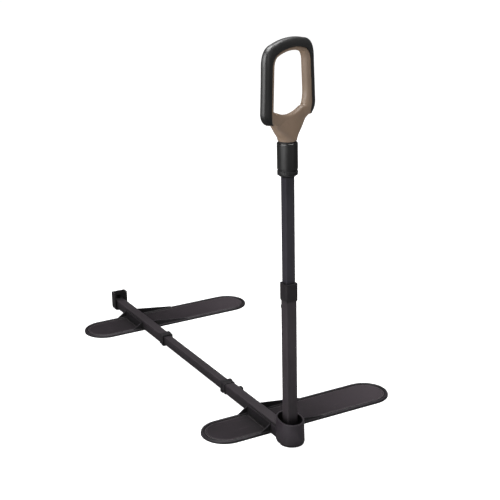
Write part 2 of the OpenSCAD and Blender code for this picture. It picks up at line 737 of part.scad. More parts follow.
// Neck of the handle: oval sections that grow from the lock collar to the ends of the grip
neck_shares = [0, 0.1, 0.3, 0.5, 0.7, 0.86, 1];
neck_grow_shares = [0, 0.03, 0.22, 0.43, 0.65, 0.83, 1];
oval_steps = 28;
neck_r_share = 0.87;
neck_r = lock_r * neck_r_share;
neck_top_half = loop_bottom - loop_bottom_r * (1 - cos(grip_wrap)) - move_gap;
neck_top_z = loop_z + loop_bottom_r * (1 - sin(grip_wrap));
function oval(a, b, z) = [
    for (k = [0 : oval_steps - 1]) let (t = 360 * k / oval_steps)
        [a * soft(cos(t)), b * soft(sin(t)), z]
];
function round_ring(r, z) = [
    for (k = [0 : oval_steps - 1]) let (t = 360 * k / oval_steps) [r * cos(t), r * sin(t), z]
];
module neck() {
    rings = [
        for (i = [0 : len(neck_shares) - 1])
            let (
                g = neck_grow_shares[i],
                z = neck_z + (neck_top_z - neck_z) * neck_shares[i],
                o = oval(neck_r + (neck_top_half - neck_r) * g, neck_r + (frame_d / 2 - neck_r) * g, z),
                c = round_ring(neck_r, z),
                blend = min(1, neck_shares[i] / neck_shares[3])
            )
            [for (k = [0 : oval_steps - 1]) c[k] + (o[k] - c[k]) * blend + [loop_shift * g, 0, 0]]
    ];
    n = len(rings);
    m = oval_steps;
    polyhedron(
        [for (r = rings) each r],
        concat(
            [for (i = [0 : n - 2]) for (j = [0 : m - 1])
                [i * m + j, (i + 1) * m + j, (i + 1) * m + (j + 1) % m, i * m + (j + 1) % m]],
            [[for (j = [0 : m - 1]) j], [for (j = [m - 1 : -1 : 0]) (n - 1) * m + j]]
        ),
        convexity = 4
    );
}
// Thickness of the frame at a station, as a share of frame_in
function frame_size(p) = 1
    + (frame_low / frame_in - 1) * pow(max(0, -sin(p[2])), 2)
    + (frame_top / frame_in - 1) * pow(max(0, sin(p[2])), 2)
    - (p[2] == 270 ? frame_dip / frame_in * (1 - pow((p[0] - loop_shift) / bottom_half, 2)) : 0);
frame_sizes = [for (p = loop_line) [frame_size(p), 1]];
module handle_frame() {
    color(taupe) on_handle() difference() {
        union() {
            sweep(loop_line, half_section(-frame_in, frame_d), frame_sizes, true);
            neck();
        }
        translate([0, 0, neck_z - over]) cylinder(r = core_r + run_fit, h = core_l + slide_gap + over);
    }
}
// Soft grip round the outside of the loop, fuller at the top corners and tapered at its two ends
end_share = 0.2;
swell_share = 0.27;
function grip_size(a) = let (left = min(a, 180 - a) + grip_wrap)
    left < grip_wrap ? end_share + (1 - end_share) * sin(90 * left / grip_wrap)
    : 1 + swell_share * pow(sin(2 * min(a, 180 - a)), 2);
module handle_grip() {
    sizes = [for (p = grip_line) [grip_size(p[2]), 1]];
    color(black_plastic) on_handle() sweep(grip_line, half_section(grip_out, grip_d), sizes, false);
}

// Channel-shaped stop on the bar's far end, with round lower corners and two screws:
// one up into the bar, one through the web above it
stop_screw_y = stop_back - stop_d / 2;
stop_screw_z = bar_top + stop_screw_up;
module stop_outline() {
    translate([-stop_w / 2, stop_bottom + stop_r]) square([stop_w, stop_top - stop_bottom - stop_r]);
    translate([-stop_w / 2 + stop_r, stop_bottom]) square([stop_w - 2 * stop_r, stop_r + over]);
    for (s = [-1, 1]) translate([s * (stop_w / 2 - stop_r), stop_bottom + stop_r]) circle(stop_r);
}
module end_stop() {
    color(black_plastic) on_bar() difference() {
        translate([0, stop_back, 0]) rotate([90, 0, 0]) linear_extrude(stop_d) stop_outline();
        translate([-stop_w / 2 + stop_wall, stop_back - stop_d - over, bar_lift])
            cube([stop_w - 2 * stop_wall, stop_d - stop_wall + over, stop_top]);
        translate([0, stop_back + over, stop_screw_z]) rotate([90, 0, 0])
            cylinder(r = screw_r + run_fit, h = stop_wall + 2 * over);
        translate([0, stop_screw_y, 0]) {
            cylinder(r = screw_r + run_fit, h = bar_lift + over);
            cylinder(r = screw_head_r + slide_gap, h = screw_seat_z);
        }
    }
}
module end_stop_screws() {
    color(steel) on_bar() {
        translate([0, stop_screw_y, 0]) screw_up(screw_seat_z, screw_tip);
        translate([0, stop_back - stop_wall, stop_screw_z]) rotate([90, 0, 0]) {
            cylinder(r = screw_head_r, h = screw_head_h);
            translate([0, 0, -stop_wall]) cylinder(r = screw_r, h = stop_wall);
        }
    }
}

near_foot_tray();
near_grip_mats();
near_sole_pads();
near_foot_screws();
near_tube();
near_collar();
near_boss();
near_knob();
pole_socket();
socket_pad();
tongue_screw();
lower_pole();
pole_plug();
pole_bolt();
pole_collar();
pole_boss();
pole_knob();
center_tube();
center_end_plugs();
far_tube();
far_collar();
far_boss();
far_knob();
far_foot_tray();
far_grip_mats();
far_sole_pads();
far_foot_screws();
end_stop();
end_stop_screws();
upper_pole();
upper_pole_glide();
swivel_hub();
swivel_bush();
collar_ring();
lock_collar();
handle_stem();
handle_frame();
handle_grip();
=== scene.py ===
from math import asin, cos, degrees, pi, radians, sin

import bmesh
import bpy
from mathutils import Matrix, Vector


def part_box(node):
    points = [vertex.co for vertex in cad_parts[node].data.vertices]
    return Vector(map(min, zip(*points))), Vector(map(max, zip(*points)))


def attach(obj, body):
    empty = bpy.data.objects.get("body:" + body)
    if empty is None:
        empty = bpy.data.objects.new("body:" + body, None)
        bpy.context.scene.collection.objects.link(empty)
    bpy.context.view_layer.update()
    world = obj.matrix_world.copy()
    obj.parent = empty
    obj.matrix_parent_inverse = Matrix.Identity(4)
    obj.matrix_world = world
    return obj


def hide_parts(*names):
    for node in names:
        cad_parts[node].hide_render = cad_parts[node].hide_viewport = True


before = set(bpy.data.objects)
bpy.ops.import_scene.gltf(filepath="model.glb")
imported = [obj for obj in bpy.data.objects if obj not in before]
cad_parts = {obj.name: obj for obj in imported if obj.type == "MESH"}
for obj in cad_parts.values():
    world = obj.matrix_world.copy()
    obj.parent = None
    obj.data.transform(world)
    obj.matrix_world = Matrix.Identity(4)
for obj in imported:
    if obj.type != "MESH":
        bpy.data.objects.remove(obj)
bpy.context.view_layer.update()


# Feet: two long oval trays, injection moulded in black plastic, each with a rolled rim, a saddle
# for the bar and gusset walls that climb to it. The mould is spark-eroded, so the surface is a
# fine satin grain, rubbed a little smoother and paler along the edges.
MM = 0.001


class Field:
    """A socket in a finish's nodes. Sums and products of fields add Math nodes."""

    def __init__(self, finish, socket):
        self.finish = finish
        self.socket = socket

    def math(self, operation, a, b):
        return self.finish.node("ShaderNodeMath", {"operation": operation}, {0: a, 1: b})

    def __add__(self, other):
        return self.math("ADD", self, other)

    def __radd__(self, other):
        return self.math("ADD", other, self)

    def __sub__(self, other):
        return self.math("SUBTRACT", self, other)

    def __rsub__(self, other):
        return self.math("SUBTRACT", other, self)

    def __mul__(self, other):
        return self.math("MULTIPLY", self, other)

    def __rmul__(self, other):
        return self.math("MULTIPLY", other, self)

    def rise(self, low, high):
        """0 below low, 1 above high, smooth in between."""
        return self.finish.node(
            "ShaderNodeMapRange", {"interpolation_type": "SMOOTHSTEP"},
            {"Value": self, "From Min": low, "From Max": high})


class Finish:
    """A material with one Principled shader, and the nodes that feed it."""

    MIX_FROM, MIX_TO, MIX_RESULT = 6, 7, 2  # the colour sockets of a Mix node
    RAYS = {"samples": 6}  # sent out to feel for edges and walls
    EDGE_BEND = (0.01, 0.16)  # how far the normal bends where wear begins and is full

    def __init__(self, name, **constants):
        self.material = bpy.data.materials.new(name)
        self.material.use_nodes = True
        self.tree = self.material.node_tree
        self.shader = self.tree.nodes["Principled BSDF"]
        for socket, value in constants.items():
            self.shader.inputs[socket.replace("_", " ")].default_value = value
        self.place = self.node("ShaderNodeTexCoord", {}, {}, "Object")

    def node(self, kind, settings, inputs, output=0):
        made = self.tree.nodes.new(kind)
        for key, value in settings.items():
            setattr(made, key, value)
        for key, value in inputs.items():
            self.join(made.inputs[key], value)
        return Field(self, made.outputs[output])

    def join(self, socket, value):
        if isinstance(value, Field):
            self.tree.links.new(value.socket, socket)
        else:
            socket.default_value = value

    def noise(self, size, detail, stretch=None):
        """Cloudy noise whose lumps are about as large as size."""
        at = self.place
        if stretch:
            at = self.node(
                "ShaderNodeVectorMath", {"operation": "MULTIPLY"}, {0: at, 1: stretch})
        return self.node(
            "ShaderNodeTexNoise", {}, {"Vector": at, "Scale": 1 / size, "Detail": detail})

    def cells(self, size):
        """Height of round pebbles of about this size."""
        gap = self.node(
            "ShaderNodeTexVoronoi", {}, {"Vector": self.place, "Scale": 1 / size}, "Distance")
        return 1 - gap

    def mix(self, share, a, b):
        """Colour that goes from a to b with share."""
        return self.node(
            "ShaderNodeMix", {"data_type": "RGBA"},
            {"Factor": share, self.MIX_FROM: a, self.MIX_TO: b}, self.MIX_RESULT)

    def worn_edges(self, radius):
        """The normal with its sharp edges rounded, and how far each place is an edge."""
        soft = self.node("ShaderNodeBevel", self.RAYS, {"Radius": radius}, "Normal")
        sharp = self.node("ShaderNodeNewGeometry", {}, {}, "Normal")
        agree = self.node(
            "ShaderNodeVectorMath", {"operation": "DOT_PRODUCT"}, {0: soft, 1: sharp}, "Value")
        return soft, (1 - agree).rise(*self.EDGE_BEND)

    def painted_shade_share(self, reach, low, high):
        """Painted shade: 1 where walls within reach leave a place less open than low, 0 where more
        than high.
        """
        openness = self.node("ShaderNodeAmbientOcclusion", self.RAYS, {"Distance": reach}, "AO")
        return 1 - openness.rise(low, high)

    def relief(self, height, depth, normal=None):
        """Feeds the shader a normal roughened by height; depth is in metres."""
        inputs = {"Height": height, "Distance": depth}
        if normal:
            inputs["Normal"] = normal
        self.feed("Normal", self.node("ShaderNodeBump", {}, inputs, "Normal"))

    def feed(self, socket, value):
        self.join(self.shader.inputs[socket], value)


def rgb(red, green, blue):
    """A colour given as on a screen, from 0 to 255, turned into light by the sRGB curve."""
    def light(v):
        v /= 255
        return v / 12.92 if v <= 0.04045 else ((v + 0.055) / 1.055) ** 2.4
    return (light(red), light(green), light(blue), 1.0)


def dress(finish, *nodes):
    """Puts a finish on CAD nodes."""
    for name in nodes:
        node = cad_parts[name]
        if not node.material_slots:
            node.data.materials.append(None)
        for slot in node.material_slots:
            slot.material = finish.material


# painted shade, mixed into corners and hollows
CORNER_SHADE = rgb(6, 5, 6)
RUBBED_EDGE = rgb(82, 77, 82)
RUBBED_RADIUS = 0.7 * MM
RUB_SIZE = 9 * MM
FLOW_SIZE = 40 * MM
GRAIN_DEPTH = 0.06 * MM


def moulded_plastic(name, dark, pale, rough, grain_size, specular, reach=32 * MM):
    """Satin black plastic from a grained mould. Corners get painted shade within reach of a wall.
    """
    finish = Finish(name, Specular_IOR_Level=specular)
    grain = finish.noise(grain_size, detail=2)
    flow = finish.noise(FLOW_SIZE, detail=4)
    rubbed = finish.noise(RUB_SIZE, detail=5)
    soft, edge = finish.worn_edges(RUBBED_RADIUS)
    wear = edge * rubbed.rise(0.35, 0.75)
    painted_corner_shade = finish.painted_shade_share(reach, 0.35, 0.95)
    tone = finish.mix(flow.rise(0.3, 0.75) * 0.6 + grain * 0.25, dark, pale)
    # painted shade: the tone darkens towards CORNER_SHADE where walls close in
    tone = finish.mix(painted_corner_shade * 0.95, tone, CORNER_SHADE)
    finish.feed("Base Color", finish.mix(wear * 0.5, tone, RUBBED_EDGE))
    finish.feed("Roughness", rough + (flow - 0.5) * 0.16 + (grain - 0.5) * 0.12
                - wear * 0.12 + painted_corner_shade * 0.2)
    finish.relief(grain + rubbed * 0.35, GRAIN_DEPTH, soft)
    return finish


# the trays' painted shade reaches 60 mm out from the walls round the bar
tray_plastic = moulded_plastic(
    "tray plastic", dark=rgb(28, 25, 28), pale=rgb(39, 35, 39), rough=0.5,
    grain_size=0.55 * MM, specular=0.3, reach=60 * MM)
dress(tray_plastic, "near_foot_tray", "far_foot_tray")


# Grip mats: one short and one long sheet of dark rubber on each tray, die cut to the tray's oval
# and glued down on both sides of the saddle. A shallow line is pressed in along the border, and
# the field is pebbled so that a couch leg can't slip. Painted light makes the mats paler towards
# the long ends, painted shade darkens them near the bar, and a painted highlight lies on the cut
# edges and on the walls of the pressed line.
FEET = (("near", "base"), ("far", "far_base"))
BAR_CLEARANCE = 14.9 * MM
MAT_CORNER = 4 * MM
MAT_LEAST_CORNER = 0.6 * MM
MAT_TAPER = 0.9 * MM
MAT_GLUED = 1 * MM
MAT_EDGE_TILT = (0.1, 0.97)
LINE_IN = 2.6 * MM
LINE_WIDTH = 1.1 * MM
LINE_DEPTH = 0.45 * MM
ROUND_KNEE = 0.3
ARC_STEPS = 28
CORNER_STEPS = 6
CREASE = 40  # degrees


def middle(node):
    """The x and y of a CAD node's middle."""
    low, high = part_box(node)
    return (low[0] + high[0]) / 2, (low[1] + high[1]) / 2


def arc(x, y, radius, start, stop, steps):
    """Points on an arc; the angles are in degrees."""
    turn = [radians(start + (stop - start) * k / steps) for k in range(steps + 1)]
    return [(x + radius * cos(t), y + radius * sin(t)) for t in turn]


def skin(name, rings, capped=True, joined=False, crease=CREASE):
    """A smooth mesh over a row of equal rings of points, with its ends capped or joined."""
    count = len(rings[0])
    faces = []
    for i in range(len(rings) if joined else len(rings) - 1):
        a, b = i * count, (i + 1) % len(rings) * count
        faces += [
            (a + j, a + (j + 1) % count, b + (j + 1) % count, b + j) for j in range(count)]
    if capped:
        faces.append(tuple(range(count))[::-1])
        faces.append(tuple(range((len(rings) - 1) * count, len(rings) * count)))
    mesh = bpy.data.meshes.new(name)
    mesh.from_pydata([p for ring in rings for p in ring], [], faces)
    shape = bmesh.new()
    shape.from_mesh(mesh)
    bmesh.ops.recalc_face_normals(shape, faces=shape.faces)
    shape.to_mesh(mesh)
    shape.free()
    mesh.shade_smooth()
    mesh.set_sharp_from_angle(angle=radians(crease))
    piece = bpy.data.objects.new(name, mesh)
    bpy.context.collection.objects.link(piece)
    return piece


def fit(piece, body, slot, node, *finishes):
    """Gives a piece its finishes and sets it on its body, in the place of a CAD node."""
    for finish in finishes:
        piece.data.materials.append(finish.material)
    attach(piece, body)
    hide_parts(node)


def pick_out(piece, above, tilt):
    """Gives a piece's second finish to its faces above a height whose upward tilt is in range."""
    for face in piece.data.polygons:
        if face.center.z > above and tilt[0] < face.normal.z < tilt[1]:
            face.material_index = 1


def mat_sheet(name, cut_x, round_x, y, half, low, high):
    """A mat from a straight cut at cut_x to a round end centred on round_x."""
    way = 1 if round_x > cut_x else -1
    knee = ROUND_KNEE * MAT_TAPER
    slope = LINE_WIDTH / 3
    steps = [
        (0, low), (0, high - MAT_TAPER), (knee, high - knee), (MAT_TAPER, high),
        (LINE_IN, high), (LINE_IN + slope, high - LINE_DEPTH),
        (LINE_IN + 2 * slope, high - LINE_DEPTH), (LINE_IN + LINE_WIDTH, high),
    ]
    rings = []
    for inset, z in steps:
        r = half - inset
        c = max(MAT_CORNER - inset, MAT_LEAST_CORNER)
        cut = way * (cut_x + way * inset - round_x)
        corners = (
            arc(c, r - c, c, 90, 180, CORNER_STEPS) + arc(c, c - r, c, 180, 270, CORNER_STEPS))
        outline = arc(0, 0, r, -90, 90, ARC_STEPS) + [(cut + px, py) for px, py in corners]
        rings.append([(round_x + way * px, y + py, z) for px, py in outline])
    return skin(name, rings)


MAT_ROUGH = 0.72
MAT_DARK = rgb(29, 25, 28)
MAT_PALE = rgb(37, 32, 36)
MAT_PAINTED_LIT = rgb(57, 51, 55)
MAT_SCUFFED = rgb(58, 51, 55)
PAINTED_LIGHT_RUN = (-20 * MM, 240 * MM)
SCUFF_RUN = (0.35, 1.0, 1.0)
BAR_SHADE_REACH = 110 * MM
PEBBLE_DEPTH = 0.28 * MM
mat_rubber = Finish("mat rubber", Specular_IOR_Level=0.18)
pebble = mat_rubber.cells(1.5 * MM)
fine = mat_rubber.noise(0.7 * MM, detail=3)
patch = mat_rubber.noise(55 * MM, detail=5)
scuff = mat_rubber.noise(7 * MM, detail=4, stretch=SCUFF_RUN)
along = mat_rubber.node("ShaderNodeSeparateXYZ", {}, {"Vector": mat_rubber.place}, "X")
# painted shade: the mats darken to near black close to the bar and the tray's walls
shaded = mat_rubber.painted_shade_share(BAR_SHADE_REACH, 0.64, 1.0)
mat_tone = mat_rubber.mix(patch.rise(0.3, 0.7) * 0.7 + fine * 0.3, MAT_DARK, MAT_PALE)
# painted light: the mats grow paler towards +x, out to the long ends
mat_tone = mat_rubber.mix(along.rise(*PAINTED_LIGHT_RUN), mat_tone, MAT_PAINTED_LIT)
mat_tone = mat_rubber.mix(scuff.rise(0.58, 0.8) * 0.35, mat_tone, MAT_SCUFFED)
mat_rubber.feed("Base Color", mat_rubber.mix(shaded * 0.95, mat_tone, CORNER_SHADE))
mat_rubber.feed("Roughness", MAT_ROUGH + (patch - 0.5) * 0.2 + fine * 0.1)
mat_rubber.relief(pebble * 0.8 + fine * 0.5, PEBBLE_DEPTH)

CUT_ROUGH = 0.5
# a painted highlight, far paler than the rubber, for the cut edges and the pressed line
EDGE_HIGHLIGHT_DARK = rgb(72, 67, 70)
EDGE_HIGHLIGHT_PALE = rgb(96, 90, 93)
CUT_SHADE_REACH = 90 * MM
NICK_DEPTH = 0.15 * MM
mat_edge = Finish("mat edge", Specular_IOR_Level=0.35)
nick = mat_edge.noise(2.5 * MM, detail=5)
edge_highlight_tone = mat_edge.mix(nick.rise(0.3, 0.75), EDGE_HIGHLIGHT_DARK, EDGE_HIGHLIGHT_PALE)
# painted shade darkens the painted highlight near the bar
edge_shade = mat_edge.painted_shade_share(CUT_SHADE_REACH, 0.45, 0.9)
mat_edge.feed("Base Color", mat_edge.mix(edge_shade * 0.95, edge_highlight_tone, CORNER_SHADE))
mat_edge.feed("Roughness", CUT_ROUGH + (nick - 0.5) * 0.3)
mat_edge.relief(nick, NICK_DEPTH)

for side, body in FEET:
    node = side + "_grip_mats"
    low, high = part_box(node)
    half = (high[1] - low[1]) / 2
    _, foot_y = middle(node)
    bar_x, _ = middle(side + "_tube")
    for kind, cut_x, round_x in (
        ("short", bar_x - BAR_CLEARANCE, low[0] + half),
        ("long", bar_x + BAR_CLEARANCE, high[0] - half),
    ):
        sheet = mat_sheet(
            f"{side}_{kind}_mat", cut_x, round_x, foot_y, half, low[2], high[2])
        fit(sheet, body, "mat_rubber", node, mat_rubber, mat_edge)
        # the tilted faces of the cut edge and the pressed line get the painted highlight
        pick_out(sheet, low[2] + MAT_GLUED, MAT_EDGE_TILT)


# Sole pads: small ovals of soft black rubber pressed into pockets under the trays, three to a
# foot, and a rubber ring under the post's socket. Their lower edges are rounded, and a shallow
# groove runs round each oval, so that they hold on a smooth floor.
PAD_LENGTH = 46 * MM
PAD_WIDTH = 16 * MM
PAD_EDGE = 0.35 * MM
PAD_KNEE = ROUND_KNEE * PAD_EDGE
PAD_GROOVE = 0.25 * MM
PAD_GROOVE_IN = 2.4 * MM
PAD_END_STEPS = 16
PAD_PLACES = (("left", -0.36), ("middle", 0.02), ("right", 0.36))  # shares of the foot's length
RING_PAD_BORE = 6.4 * MM
TURN_STEPS = 72


def heights(node):
    """The lowest and the highest z of a CAD node."""
    low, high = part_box(node)
    return low[2], high[2]


def sole_pad(name, x, y, height):
    """One oval pad that stands on the floor."""
    r = PAD_WIDTH / 2
    reach = (PAD_LENGTH - PAD_WIDTH) / 2
    rings = []
    for inset, z in (
        (0, height), (0, PAD_EDGE), (PAD_KNEE, PAD_KNEE), (PAD_EDGE, 0),
        (PAD_GROOVE_IN, 0), (PAD_GROOVE_IN + PAD_GROOVE, PAD_GROOVE),
        (PAD_GROOVE_IN + 3 * PAD_GROOVE, PAD_GROOVE), (PAD_GROOVE_IN + 4 * PAD_GROOVE, 0),
    ):
        right_end = arc(reach, 0, r - inset, -90, 90, PAD_END_STEPS)
        left_end = arc(-reach, 0, r - inset, 90, 270, PAD_END_STEPS)
        rings.append([(x + px, y + py, z) for px, py in right_end + left_end])
    return skin(name, rings)


def turned(name, x, y, outlines):
    """A piece as from a lathe. Each step has its outline, [radius, height] round the wall."""
    rings = []
    for k, outline in enumerate(outlines):
        t = 2 * pi * k / len(outlines)
        rings.append([(x + r * cos(t), y + r * sin(t), z) for r, z in outline])
    return skin(name, rings, capped=False, joined=True)


SOLE_ROUGH = 0.75
SOLE_BLACK = rgb(28, 27, 27)
SOLE_DUSTY = rgb(58, 55, 52)
SPECK_DEPTH = 0.08 * MM
sole_rubber = Finish("sole rubber", Specular_IOR_Level=0.3)
dust = sole_rubber.noise(5 * MM, detail=5)
speck = sole_rubber.noise(0.6 * MM, detail=2)
sole_rubber.feed("Base Color", sole_rubber.mix(dust.rise(0.45, 0.8) * 0.6, SOLE_BLACK, SOLE_DUSTY))
sole_rubber.feed("Roughness", SOLE_ROUGH + (dust - 0.5) * 0.2)
sole_rubber.relief(speck, SPECK_DEPTH)

for side, body in FEET:
    node = side + "_sole_pads"
    _, pad_y = middle(node)
    _, pad_high = heights(node)
    tray_low, tray_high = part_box(side + "_foot_tray")
    foot = tray_high[0] - tray_low[0]
    for place, share in PAD_PLACES:
        pad = sole_pad(f"{side}_{place}_sole_pad", share * foot, pad_y, pad_high)
        fit(pad, body, "sole_rubber", node, sole_rubber)

low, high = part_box("socket_pad")
post_x, post_y = middle("socket_pad")
ring_out = (high[0] - low[0]) / 2
socket_ring = turned("socket_ring_pad", post_x, post_y, TURN_STEPS * [[
    (RING_PAD_BORE, high[2]), (RING_PAD_BORE, PAD_EDGE), (RING_PAD_BORE + PAD_EDGE, 0),
    (ring_out - PAD_EDGE, 0), (ring_out - PAD_KNEE, PAD_KNEE), (ring_out, PAD_EDGE),
    (ring_out, high[2]),
]])
fit(socket_ring, "base", "sole_rubber", "socket_pad", sole_rubber)


# Steel: zinc-plated screws under the feet and the socket, and the bare turned hub and stem of the
# swivel, all with fine turning marks and a dull bloom in patches. The two screws of the end stop
# are blackened and oiled.
ZINC_ROUGH = 0.28
ZINC_BRIGHT = rgb(196, 196, 200)
ZINC_DULL = rgb(150, 147, 143)
TURNING_RUN = (0.15, 0.15, 1.0)
TURNING_DEPTH = 0.03 * MM
zinc_steel = Finish("zinc steel")
bloom = zinc_steel.noise(4 * MM, detail=5)
turning = zinc_steel.noise(0.35 * MM, detail=2, stretch=TURNING_RUN)
zinc_steel.feed("Base Color", zinc_steel.mix(bloom.rise(0.4, 0.75), ZINC_BRIGHT, ZINC_DULL))
zinc_steel.feed("Metallic", 1 - bloom.rise(0.6, 0.95) * 0.2)
zinc_steel.feed("Roughness", ZINC_ROUGH + bloom * 0.25 + (turning - 0.5) * 0.15)
zinc_steel.relief(turning, TURNING_DEPTH)
dress(zinc_steel, "near_foot_screws", "far_foot_screws", "tongue_screw", "pole_bolt",
      "swivel_hub", "handle_stem")

BLACKENED_ROUGH = 0.42
BLACKENED = rgb(30, 29, 31)
BLACKENED_PALE = rgb(48, 46, 48)
OIL_DEPTH = 0.04 * MM
black_steel = Finish("blackened steel", Metallic=1.0)
oil = black_steel.noise(3 * MM, detail=4)
black_steel.feed("Base Color", black_steel.mix(oil.rise(0.3, 0.75), BLACKENED, BLACKENED_PALE))
black_steel.feed("Roughness", BLACKENED_ROUGH + (oil - 0.5) * 0.25)
black_steel.relief(oil, OIL_DEPTH)
dress(black_steel, "end_stop_screws")


# Tubes: square drawn steel tubes, the outer ones for the bar and the lower post, the thinner ones
# that slide in them for the centre of the bar and the upper post. All are powder coated black:
# a low sheen with orange peel, and faint lines rubbed along their run.
ALONG_BAR = (1.0, 0.02, 1.0)
ALONG_POST = (1.0, 1.0, 0.02)
COAT_ROUGH = 0.48
COAT_CHIPPED = rgb(90, 86, 90)
COAT_SHADE = rgb(7, 6, 7)
COAT_SHADE_REACH = 60 * MM
COAT_RADIUS = 0.8 * MM
PEEL_DEPTH = 0.07 * MM


def powder_coat(name, dark, pale, run):
    """Black powder coat on a tube that lies along run, with painted shade where walls close in."""
    finish = Finish(name, Specular_IOR_Level=0.4)
    peel = finish.noise(1.3 * MM, detail=2)
    fleck = finish.noise(0.35 * MM, detail=1)
    cloud = finish.noise(60 * MM, detail=4)
    streak = finish.noise(1.2 * MM, detail=3, stretch=run)
    soft, edge = finish.worn_edges(COAT_RADIUS)
    wear = edge * finish.noise(6 * MM, detail=5).rise(0.45, 0.8)
    painted_corner_shade = finish.painted_shade_share(COAT_SHADE_REACH, 0.45, 0.9)
    tone = finish.mix(cloud.rise(0.3, 0.7) * 0.6 + fleck * 0.3, dark, pale)
    tone = finish.mix(wear * 0.35, tone, COAT_CHIPPED)
    # painted shade: the coat darkens towards COAT_SHADE where the floor and trays close in
    finish.feed("Base Color", finish.mix(painted_corner_shade * 0.9, tone, COAT_SHADE))
    finish.feed("Roughness", COAT_ROUGH + (cloud - 0.5) * 0.14 + (fleck - 0.5) * 0.1
                + streak.rise(0.5, 0.8) * 0.08 - wear * 0.1)
    finish.relief(peel + fleck * 0.3 + streak * 0.15, PEEL_DEPTH, soft)
    return finish


bar_coat = powder_coat("bar powder coat", rgb(37, 33, 36), rgb(46, 41, 45), ALONG_BAR)
post_coat = powder_coat("post powder coat", rgb(38, 34, 37), rgb(47, 42, 46), ALONG_POST)
mast_coat = powder_coat("upper post powder coat", rgb(31, 30, 35), rgb(39, 37, 44), ALONG_POST)
dress(bar_coat, "near_tube", "far_tube", "center_tube", "near_boss", "far_boss")
dress(post_coat, "lower_pole", "pole_boss")
dress(mast_coat, "upper_pole")


# Collars, knobs and plugs: small black nylon mouldings. A collar caps the mouth of each outer
# tube and a grooved knob clamps each slide. The plugs, the glide and the bush of the swivel are
# hidden in the tubes.
nylon = moulded_plastic(
    "black nylon", dark=rgb(24, 22, 24), pale=rgb(33, 30, 33), rough=0.42,
    grain_size=0.4 * MM, specular=0.4)
dress(nylon, "near_collar", "far_collar", "pole_collar", "near_knob", "far_knob", "pole_knob",
      "center_end_plugs", "pole_plug", "upper_pole_glide", "swivel_bush")


# Post socket and end stop: thick black mouldings at the two ends of the bar. The socket is an oval
# cup with a slanted rim round the post, glossier than the trays and bolted from below. The end
# stop is a channel of the collars' nylon, screwed to the bar's far end.
socket_plastic = moulded_plastic(
    "socket plastic", dark=rgb(36, 32, 36), pale=rgb(48, 43, 48), rough=0.34,
    grain_size=0.5 * MM, specular=0.5)
dress(socket_plastic, "pole_socket")
dress(nylon, "end_stop")


# Swivel: a ring with two grooves and a fluted band that caps the upper post, and above it the
# sleeve that twists to lock the handle. Both are moulded in black plastic with a soft gloss. The
# sleeve's rounded lip is polished by use. A black collar rises inside the sleeve under the
# handle's neck, a dark piece that stands for the shade in the gap there.
LOCK_RADIUS = 17.5 * MM
LOCK_BORE = 13.4 * MM
LOCK_LIP = 1.6 * MM
LOCK_EDGE = 0.6 * MM
LIP_TILT = (0.05, 0.99)
SHADOW_COLLAR_RADIUS = 14.6 * MM
SHADOW_COLLAR_RISE = 2.4 * MM
RING_BORE = 8.6 * MM
RING_TAPER = 4.5 * MM
RING_TAPER_HIGH = 3.4 * MM
RING_GROOVE = 1.8 * MM
RING_BAND = (5.6 * MM, 9.6 * MM)
FLUTE_DEPTH = 0.5 * MM
FLUTE_EVERY = 3
LIP_ROUGH = 0.08
LIP_BLACK = rgb(14, 14, 14)
LIP_PALE = rgb(24, 24, 24)
LIP_DEPTH = 0.02 * MM

lock_plastic = moulded_plastic(
    "lock plastic", dark=rgb(11, 11, 11), pale=rgb(18, 18, 18), rough=0.45,
    grain_size=0.45 * MM, specular=0.65)
lip_polish = Finish("polished lip", Specular_IOR_Level=1.0)
rub = lip_polish.noise(3 * MM, detail=4)
lip_polish.feed("Base Color", lip_polish.mix(rub, LIP_BLACK, LIP_PALE))
lip_polish.feed("Roughness", LIP_ROUGH + rub * 0.1)
lip_polish.relief(rub, LIP_DEPTH)

sleeve_low, sleeve_high = heights("lock_collar")
lock_sleeve = turned("lock_sleeve", post_x, post_y, TURN_STEPS * [[
    (LOCK_BORE, sleeve_low), (LOCK_RADIUS - LOCK_EDGE, sleeve_low),
    (LOCK_RADIUS, sleeve_low + LOCK_EDGE),
    *arc(LOCK_RADIUS - LOCK_LIP, sleeve_high - LOCK_LIP, LOCK_LIP, 0, 90, CORNER_STEPS),
    # a black collar that stands for the shade in the gap under the handle's neck
    (SHADOW_COLLAR_RADIUS, sleeve_high - LOCK_EDGE), (SHADOW_COLLAR_RADIUS, sleeve_high + SHADOW_COLLAR_RISE),
    (LOCK_BORE, sleeve_high + SHADOW_COLLAR_RISE),
]])
fit(lock_sleeve, "lock", "black_plastic", "lock_collar", lock_plastic, lip_polish)
pick_out(lock_sleeve, sleeve_high - LOCK_LIP, LIP_TILT)

ring_low, ring_high = heights("collar_ring")


def ring_outline(step):
    """The ring's wall at one step round it; every few steps a flute is cut into the band."""
    band = LOCK_RADIUS - (FLUTE_DEPTH if step % FLUTE_EVERY == 0 else 0)
    groove = LOCK_RADIUS - RING_GROOVE
    return [
        (RING_BORE, ring_low), (LOCK_RADIUS - RING_TAPER, ring_low),
        (LOCK_RADIUS, ring_low + RING_TAPER_HIGH),
        (groove, ring_low + RING_TAPER_HIGH + LOCK_EDGE),
        (groove, ring_low + RING_BAND[0] - LOCK_EDGE / 2),
        (band, ring_low + RING_BAND[0]), (band, ring_low + RING_BAND[1]),
        (groove, ring_low + RING_BAND[1] + LOCK_EDGE / 2),
        (groove, ring_high), (RING_BORE, ring_high),
    ]


post_ring = turned("post_ring", post_x, post_y, [ring_outline(k) for k in range(TURN_STEPS)])
fit(post_ring, "mast", "black_plastic", "collar_ring", lock_plastic)


